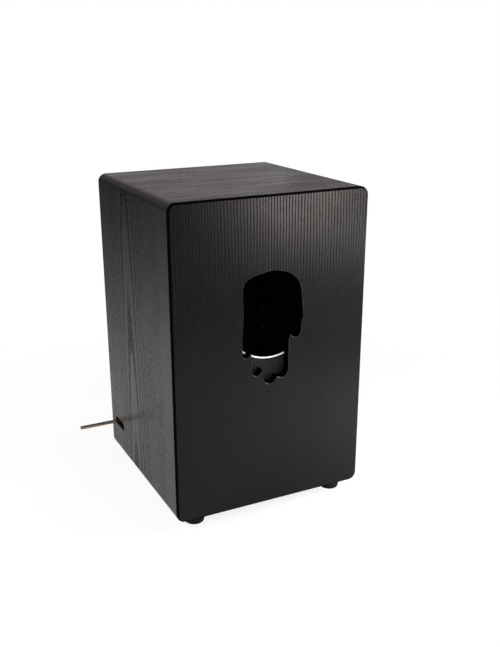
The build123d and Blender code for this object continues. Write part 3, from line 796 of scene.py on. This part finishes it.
@dataclass
class Carcass:
    """The four walls, the striking face, the panel with the sound hole and the board behind it.

    hole_reach and hole_z bound the hole on the panel. Faces within near of the carcass's hollow are inside,
    and the broken edge of the hole lies within edge_depth of the panel's front. Inner faces look towards
    middle_z, and the ring in the port is white down to band_depth.
    """

    finishes: Finishes
    hole_reach: float = 0.12
    hole_z: float = 0.30
    middle_z: float = 0.25
    near: float = 0.5 * MM
    edge_depth: float = 1.2 * MM
    band_depth: float = 1.2 * MM
    foils: dict[str, AshFoil] = field(init=False)

    def __post_init__(self) -> None:
        """Work out each panel's foil from its place."""
        left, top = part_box("left_side")[0].x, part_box("top_panel")[1].z
        back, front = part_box("back_panel")[0].y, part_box("tapa")[1].y
        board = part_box("port_board")[0].y
        no_figure = 1.0
        self.foils = {
            # The left side's foil is lighter than the foil's default colours: painted light for how the light
            # falls on that face.
            "left_side": AshFoil(
                "ash_left_painted_light", ASH, *BESIDE, left, centre=0.026, mark=0.217, depth=0.045, tilt=0.0296,
                ring=7.0 * MM, coarse=2.0, porous=0.42, seed=2.0, wave=0.7 * MM, relief_depth=0.14 * MM,
                mottle=0.7, mottle_from=0.066, calm=0.136, contrast=0.75, roughness=0.24, pore_rough=0.50,
                plain=(0.0125, 0.0114, 0.0114), warm=(0.0170, 0.0142, 0.0138), edge=(0.012, 0.0115, 0.0115),
            ),
            "right_side": AshFoil(
                "ash_right", ASH, *BESIDE, -left, centre=-0.034, mark=0.180, depth=0.070,
                ring=3.6 * MM, porous=0.42, seed=31.0, wave=0.7 * MM, mottle=0.7,
            ),
            # The top's foil is lighter and warmer than the foil's default colours: painted light for the
            # light falling on the top.
            "top_panel": AshFoil(
                "ash_top_painted_light", ASH, *FLAT, top, ring=6.5 * MM, coarse=2.4, stretch=1.6, porous=0.5,
                seed=12.0, wave=1.4 * MM, even=0.5, banding=0.7, roughness=0.30, pore_rough=0.50,
                relief_depth=0.20 * MM, plain=(0.040, 0.0230, 0.0205), warm=(0.056, 0.0315, 0.0270),
                edge=(0.016, 0.0135, 0.013), pore=(0.003, 0.0024, 0.0022),
            ),
            "bottom_panel": AshFoil("ash_bottom", ASH, *FLAT, no_figure, seed=17.0, wave=3.0 * MM),
            # The back panel's foil is darker than the foil's default colours, as painted shade, and its pores
            # fade low on the face, as painted light.
            "back_panel": AshFoil(
                "ash_back_painted_light_and_shade", ASH, *FACING, back, ring=4.75 * MM, coarse=1.25, stretch=0.8, seed=5.0,
                wave=0.2 * MM, even=0.45, contrast=0.76, pore_share_in_painted_light=0.16, roughness=0.22,
                plain=(0.0020, 0.0020, 0.0020), warm=(0.0031, 0.0029, 0.0028),
            ),
            "port_board": AshFoil(
                "ash_port", ASH, *FACING, board, seed=8.0, contrast=0.15, roughness=0.6,
                specular=0.05, plain=(0.0138, 0.0135, 0.0145), warm=(0.0152, 0.0148, 0.0155),
                pore=(0.0085, 0.0082, 0.0085),
            ),
            "tapa": AshFoil(
                "ash_tapa", ASH, *FACING, front, centre=0.012, mark=0.150, depth=0.075, tilt=0.019,
                ring=3.8 * MM, porous=0.42, seed=43.0, wave=0.8 * MM, mottle=0.6, mottle_from=0.07,
            ),
        }

    def build(self) -> None:
        """Put the foils on the outer faces, paint on the edges, and near-black paint on the inside as painted
        shade.
        """
        low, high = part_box("port_board")
        panel_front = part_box("back_panel")[0].y

        def walls(place: Array, normal: Array) -> Array:
            """Foil outside the hollow, and near-black paint on the walls' ends, inner faces and the slot's
            cut, as painted shade.
            """
            x, _, z = place
            beside = np.abs(x) > high.x + self.near
            beyond = (z > high.z + self.near) | (z < low.z - self.near)
            cut = ~beyond & (np.abs(normal[0]) < 0.6)
            inward = normal[0] * x + normal[2] * (z - self.middle_z) < 0
            return np.where((beside | beyond) & (np.abs(normal[1]) < 0.5) & ~inward & ~cut, 0, 1)

        def panel(place: Array, normal: Array) -> Array:
            """Foil on the front, lacquer on the broken edge of the hole, and paint on the rest."""
            x, y, z = place
            front = y < panel_front + self.edge_depth
            in_hole = (np.abs(x) < self.hole_reach) & (np.abs(z - self.hole_z) < self.hole_reach)
            broken = front & in_hole & (normal[1] < -0.05)
            return np.where(front & (normal[1] < -0.99), 0, np.where(broken, 2, 1))

        def board(place: Array, normal: Array) -> Array:
            """Foil on the front and paint on the rest."""
            return np.where((place[1] < low.y + 0.01 * MM) & (normal[1] < -0.99), 0, 1)

        def face(_: Array, normal: Array) -> Array:
            """Foil on all but the inner side."""
            return np.where(normal[1] > -0.5, 0, 1)

        # The inside paint is near black: painted shade for the box's dark inside.
        paint, rim = self.finishes.inside_painted_shade, self.finishes.rim_paint
        for wall in ("left_side", "right_side", "top_panel", "bottom_panel"):
            dress_faces(wall, (self.foils[wall], paint), walls)
        dress_faces("back_panel", (self.foils["back_panel"], rim, self.finishes.lacquer), panel)
        dress_faces("port_board", (self.foils["port_board"], rim), board)
        dress_faces("tapa", (self.foils["tapa"], paint), face)
        painted_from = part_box("port_ring")[0].y + self.band_depth
        dress("port_ring", replace(self.finishes.band, painted_from=painted_from))


@dataclass
class Inside:
    """Battens, glue blocks and the pivot blocks with their bushes and screws."""

    finishes: Finishes
    block_screw: CrossScrew = CrossScrew(1.75 * MM, 3.5 * MM, 28.0 * MM, 1.75 * MM)
    screw_pitch: float = 40.0 * MM

    def build(self) -> None:
        """Dress the wooden pieces by the way their grain runs, and make the blocks' screws."""
        for name in ("bottom", "top"):
            dress(f"front_batten_{name}", self.finishes.batten_x)
            for side in ("left", "right"):
                dress(f"corner_block_{name}_{side}", self.finishes.batten_y)
        places = []
        for side, hand in (("left", -1), ("right", 1)):
            dress(f"front_batten_{side}", self.finishes.batten_z)
            block = f"pivot_block_{side}"
            dress(block, self.finishes.beech_z_painted_shade)
            dress(f"pivot_bush_{side}", self.finishes.nylon)
            low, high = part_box(block)
            head = middle(block)
            head[0] = high.x if hand < 0 else low.x
            places += [(head + up * ALONG_Z, -hand * ALONG_X) for up in spread(2, self.screw_pitch)]
        screws = self.block_screw.many(places, ALONG_Y)
        screws.piece("block_screws_cross", self.finishes.screw, BOX, "pivot_block_screws")


@dataclass
class StrikingFace:
    """The screws round the striking face."""

    finishes: Finishes
    inset: float = 7.0 * MM
    side_count: int = 6
    side_pitch: float = 80.0 * MM
    end_count: int = 4
    end_pitch: float = 70.0 * MM
    screw: CrossScrew = CrossScrew(1.5 * MM, 3.0 * MM, 20.0 * MM, 1.5 * MM)

    def build(self) -> None:
        """Place a screw at each even step along the four edges."""
        low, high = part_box("tapa")
        up = spread(self.side_count, self.side_pitch) + middle("tapa")[2]
        places = [(x, z) for x in (low.x + self.inset, high.x - self.inset) for z in up]
        over = spread(self.end_count, self.end_pitch)
        places += [(x, z) for z in (low.z + self.inset, high.z - self.inset) for x in over]
        screws = self.screw.many([(np.array([x, high.y, z]), ALONG_Y) for x, z in places], ALONG_X)
        screws.piece("face_screws_cross", self.finishes.screw, BOX, "tapa_screws")


@dataclass
class Feet:
    """Four rubber feet with their washers and screws."""

    finishes: Finishes
    screw: CrossScrew = CrossScrew(2.0 * MM, 4.0 * MM, 19.0 * MM, 3.0 * MM, countersunk=False)

    def build(self) -> None:
        """Dress the feet and washers, and make a round-headed screw in each recess."""
        feet = [f"foot_{end}_{side}" for end in ("rear", "front") for side in ("left", "right")]
        for foot in feet:
            dress(foot, self.finishes.rubber)
        dress("foot_washers", self.finishes.steel)
        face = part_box("foot_screws")[0].z
        heads = [(np.array([*middle(foot)[:2], face]), -ALONG_Z) for foot in feet]
        screws = self.screw.many(heads, ALONG_X)
        screws.piece("foot_screws_cross", self.finishes.screw, BOX, "foot_screws")


@dataclass
class SnareRocker:
    """The bar, arm and rod that the lever swings, and the two sets of coiled wires on the bar.

    The rocker leans at rest, so its own axes are up, from the rod's middle to the pivot line, and forward,
    square to up and to X.
    """

    finishes: Finishes
    strands: int = 10
    strand_pitch: float = 4.0 * MM
    set_x: float = 52.0 * MM
    strip_face: float = 11.2 * MM
    start: float = 1.0 * MM
    length: float = 150.0 * MM
    coil_radius: float = 0.9 * MM
    wire_radius: float = 0.2 * MM
    coil_pitch: float = 2.0 * MM
    steps_per_turn: int = 8
    wire_sides: int = 4
    strip_screw: CrossScrew = CrossScrew(
        1.25 * MM, 2.6 * MM, 13.6 * MM, 1.6 * MM, countersunk=False, pitch=1.1 * MM, thread=0.22 * MM
    )
    strip_screw_pitch: float = 32.0 * MM
    strip_screw_up: float = -4.5 * MM
    arm_screw: CrossScrew = CrossScrew(1.5 * MM, 2.75 * MM, 32.0 * MM, 1.25 * MM)
    arm_screw_pitch: float = 12.0 * MM

    def __post_init__(self) -> None:
        """Find the rocker's own axes from the pivot line and the rod."""
        self.pivot = np.array(frame["joints"][0]["pos_m"], float)
        self.up = unit(self.pivot - middle("lever_rod") * (ALONG_Y + ALONG_Z))
        self.forward = np.cross(self.up, ALONG_X)

    def place(self, x: float | Array, forward: float | Array, up: float | Array) -> Array:
        """The point at x along X, forward towards the striking face, and up from the pivot line."""
        x, forward, up = np.broadcast_arrays(x, forward, up)
        leaning = forward[..., None] * self.forward + up[..., None] * self.up
        return self.pivot + x[..., None] * ALONG_X + leaning

    def coil(self, x: float) -> Surface:
        """One coiled strand.

        The wire's middle line is (r cos t, r sin t, p t / 2 pi): a helix of radius r and pitch p. The tube
        round it is that line plus w (n cos f + b sin f), where n points at the helix's axis and b is square
        to n and to the line's direction.

        Args:
            x: the strand's place along X.

        Returns:
            The closed tube.
        """
        r = self.coil_radius - self.wire_radius
        turns = (self.length - 2 * self.wire_radius) / self.coil_pitch
        t = np.linspace(0, 2 * math.pi * turns, int(turns * self.steps_per_turn) + 1)
        climb = self.coil_pitch / (2 * math.pi)
        line = np.stack((r * np.cos(t), r * np.sin(t), climb * t + self.wire_radius), axis=-1)
        inward = np.stack((-np.cos(t), -np.sin(t), 0 * t), axis=-1)
        ahead = np.stack((-r * np.sin(t), r * np.cos(t), climb + 0 * t), axis=-1)
        ahead /= np.linalg.norm(ahead, axis=-1, keepdims=True)
        beside = np.cross(ahead, inward)
        f = np.linspace(0, 2 * math.pi, self.wire_sides, endpoint=False)[None, :, None]
        grid = line[:, None] + self.wire_radius * (np.cos(f) * inward[:, None] + np.sin(f) * beside[:, None])
        end = self.place(x, self.strip_face + self.coil_radius, self.start)
        return Surface.from_grid(grid).placed(end, np.stack((ALONG_X, self.forward, self.up)))

    def build(self) -> None:
        """Dress the wood and steel, and make the coils and the screws."""
        dress("snare_bar", self.finishes.beech_x_painted_shade)
        dress("lever_arm", self.finishes.beech_z_painted_shade)
        dress("lever_rod", self.finishes.rod_steel)
        dress("rod_nuts", self.finishes.steel)
        dress("pivot_pins", self.finishes.steel)
        dress("friction_washers", self.finishes.soft_rubber)
        for side, hand in (("left", -1), ("right", 1)):
            dress(f"snare_strip_{side}", self.finishes.brass)
            places = hand * self.set_x + spread(self.strands, self.strand_pitch)
            coils = Surface.joined(self.coil(x) for x in places)
            coils.piece(f"snare_coils_{side}", self.finishes.wire, ROCKER, f"snare_strands_{side}")
        out = self.strip_face + self.strip_screw.head_height
        heads = [
            (self.place(set_x + x, out, self.strip_screw_up), self.forward)
            for set_x in (-self.set_x, self.set_x)
            for x in spread(2, self.strip_screw_pitch)
        ]
        screws = self.strip_screw.many(heads, ALONG_X)
        screws.piece("strip_screws_cross", self.finishes.screw, ROCKER, "snare_screws")
        arm_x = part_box("lever_arm")[0].x
        heads = [(self.place(arm_x, 0.0, up), -ALONG_X) for up in spread(2, self.arm_screw_pitch)]
        screws = self.arm_screw.many(heads, self.up)
        screws.piece("arm_screws_cross", self.finishes.screw, ROCKER, "arm_screws")


# -------------------- studio


@dataclass(frozen=True)
class Softbox:
    """A square studio light that faces a point."""

    name: str
    place: Point
    target: Point
    size: float
    watts: float
    colour: Colour = (1.0, 1.0, 1.0)

    def build(self) -> None:
        """Make the lamp and turn its face to the target."""
        lamp = bpy.data.lights.new(self.name, "AREA")
        lamp.shape = "SQUARE"
        lamp.size = self.size
        lamp.energy = self.watts
        lamp.color = self.colour
        back = unit(np.array(self.place) - np.array(self.target))
        right = unit(np.cross(ALONG_Z, back))
        show(self.name, lamp).matrix_world = pose_of(self.place, right, np.cross(back, right), back)


def pose_of(place: Sequence[float], right: Array, up: Array, back: Array) -> Matrix:
    """The matrix of an object at place with its x, y and z along right, up and back."""
    whole = np.eye(4)
    whole[:3] = np.column_stack((right, up, back, place))
    return Matrix(whole.tolist())


@dataclass(frozen=True)
class Viewpoint:
    """The main view: where the eye stands, which way it looks, and how the frame lies about it."""

    place: Point = (-0.53803, -1.14441, 0.67821)
    azimuth: float = -25.90505
    elevation: float = 19.56468
    roll: float = -0.33502
    lens: float = 46.32667
    shift_x: float = 0.01833
    shift_y: float = 0.02655
    near: float = 0.05
    far: float = 60.0

    def build(self) -> None:
        """Make the camera, looking along azimuth and elevation and turned by roll about that line."""
        a, e, r = (math.radians(angle) for angle in (self.azimuth, self.elevation, self.roll))
        back = np.array([math.sin(a) * math.cos(e), -math.cos(a) * math.cos(e), math.sin(e)])
        right = np.array([math.cos(a), math.sin(a), 0.0])
        up = np.cross(back, right)
        turned = math.cos(r) * right + math.sin(r) * up
        lens = bpy.data.cameras.new("main_view")
        lens.lens = self.lens
        lens.shift_x, lens.shift_y = self.shift_x, self.shift_y
        lens.clip_start, lens.clip_end = self.near, self.far
        eye = show("main_view", lens)
        eye.matrix_world = pose_of(self.place, turned, np.cross(back, turned), back)
        bpy.context.scene.camera = eye


LOW_PANEL = (0.0, -0.15, 0.25)
HIGH_PANEL = (0.05, -0.15, 0.42)
WARM_WHITE = (1.0, 0.93, 0.90)


@dataclass
class Studio:
    """A pale floor, soft lights, a white surround and the camera."""

    view: Viewpoint = Viewpoint()
    floor_size: float = 16.0
    floor_colour: Colour = (0.90, 0.90, 0.90)
    room_colour: Colour = (0.03, 0.03, 0.03)
    shadow_from: float = 0.30
    shadow_to: float = 0.80
    whitest: float = 0.84
    lights: tuple[Softbox, ...] = (
        Softbox("left", (-0.9, 0.1, 0.8), (-0.3, 0.0, 0.0), 0.5, 9.7),
        Softbox("left_back", (-0.4, 1.5, 1.4), (0.0, 0.0, 0.4), 1.3, 1.0),
        Softbox("over_front", (0.12, -0.82, 1.70), LOW_PANEL, 0.6, 2.0),
        Softbox("front_right", (1.087, -1.942, 0.17), HIGH_PANEL, 0.3, 11.4, WARM_WHITE),
        Softbox("low_right", (1.468, -1.691, 0.297), HIGH_PANEL, 0.3, 4.7, WARM_WHITE),
        Softbox("right", (1.31, -0.26, 1.17), LOW_PANEL, 0.6, 16.4),
        Softbox("front", (-0.60, -1.30, 0.80), (0.0, 0.0, 0.26), 0.45, 11.2),
        Softbox("back", (0.6, 1.9, 0.8), (0.0, 0.0, 0.4), 1.0, 2.4),
        Softbox("back_right", (1.2, 1.2, 1.2), (0.0, 0.0, 0.2), 1.0, 2.5),
        Softbox("floor_right", (0.6, -0.6, 0.45), (0.35, -0.45, 0.0), 0.3, 0.8),
        Softbox("floor_near", (0.45, -0.35, 0.30), (0.25, -0.30, 0.0), 0.2, 3.1),
    )

    def build(self) -> None:
        """Set the colour handling, then make the floor, surround, lights and camera."""
        bpy.context.scene.view_settings.view_transform = "Standard"
        self.floor()
        self.surround()
        for light in self.lights:
            light.build()
        self.view.build()

    def floor(self) -> None:
        """A wide floor. The camera sees it ever whiter with distance, and keeps the drum's soft shadow."""
        half = self.floor_size / 2
        mesh = bpy.data.meshes.new("floor")
        corners = [(-half, -half, 0.0), (half, -half, 0.0), (half, half, 0.0), (-half, half, 0.0)]
        mesh.from_pydata(corners, [], [(0, 1, 2, 3)])
        material = bpy.data.materials.new("pale_floor")
        sheet = NodeSheet(material)
        away = sheet.node("ShaderNodeVectorMath", {0: sheet.place()}, "Value", operation="LENGTH")
        white_share = sheet.rise(away, self.shadow_from, self.shadow_to, self.whitest, 1.0)
        seen = sheet.maths("MULTIPLY", sheet.camera_ray(), white_share)
        matt = sheet.node("ShaderNodeBsdfDiffuse", {"Color": self.floor_colour})
        white = sheet.node("ShaderNodeEmission", {})
        sheet.end("ShaderNodeOutputMaterial", sheet.node("ShaderNodeMixShader", {0: seen, 1: matt, 2: white}))
        mesh.materials.append(material)
        show("floor", mesh)

    def surround(self) -> None:
        """A world that the camera sees as white and that lights the drum as a dim grey room."""
        world = bpy.data.worlds.new("studio")
        bpy.context.scene.world = world
        sheet = NodeSheet(world)
        room = sheet.node("ShaderNodeBackground", {"Color": self.room_colour})
        white = sheet.node("ShaderNodeBackground", {"Color": (1.0, 1.0, 1.0)})
        mixed = sheet.node("ShaderNodeMixShader", {0: sheet.camera_ray(), 1: room, 2: white})
        sheet.end("ShaderNodeOutputWorld", mixed)


def main() -> None:
    """Dress and build every sub-assembly in order, then light the scene."""
    logging.basicConfig(level=logging.INFO, format="%(name)s: %(message)s")
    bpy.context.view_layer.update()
    finishes = Finishes()
    for assembly in (Carcass, Inside, StrikingFace, Feet, SnareRocker):
        assembly(finishes).build()
    Studio().build()


if __name__ == "__main__":
    main()
